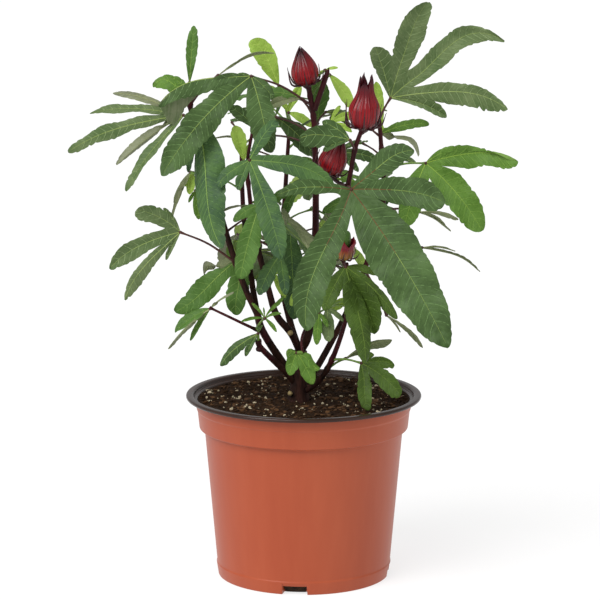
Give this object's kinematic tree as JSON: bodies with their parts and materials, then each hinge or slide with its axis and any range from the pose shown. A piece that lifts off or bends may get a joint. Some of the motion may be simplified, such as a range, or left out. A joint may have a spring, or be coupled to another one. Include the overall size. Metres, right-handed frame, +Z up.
{
  "type": "potted roselle hibiscus shrub",
  "caption": "Young red-stemmed hibiscus shrub with long palmate leaves and ridged red fruits, growing in a round terracotta-coloured plastic pot.",
  "frame": {"origin": "centre of the flat underside of the pot", "axes": "+Z up along the pot's axis, +X to the right and +Y away from the viewer of the picture"},
  "size_m": [0.3786, 0.3006, 0.497],
  "materials": {
    "pot_wall": "satin moulded terracotta-coloured plastic",
    "pot_inside": "glossy near-black moulded plastic",
    "potting_mix": "loose dark brown bark and peat crumbs with pale perlite",
    "bark": "smooth dark maroon-brown bark",
    "foliage": "soft green leaves and glossy dark red fruits"
  },
  "bodies": {
    "root": {"pot_shell": "pot_wall", "pot_lining": "pot_inside", "potting_mix": "potting_mix", "trunk": "bark", "bough_left": "bark", "bough_left_outer": "bark", "bough_left_inner": "bark", "bough_left_cut": "bark", "bough_middle_left": "bark", "bough_back": "bark", "bough_centre": "bark", "bough_front_right": "bark", "bough_right": "bark", "bough_right_low": "bark", "foliage_left_outer": "foliage", "foliage_left_inner": "foliage", "foliage_left_low": "foliage", "foliage_left_cut": "foliage", "foliage_middle_left": "foliage", "foliage_back": "foliage", "foliage_centre": "foliage", "foliage_foot": "foliage", "foliage_front_right": "foliage", "foliage_right": "foliage", "foliage_right_low": "foliage"}
  },
  "joints": []
}
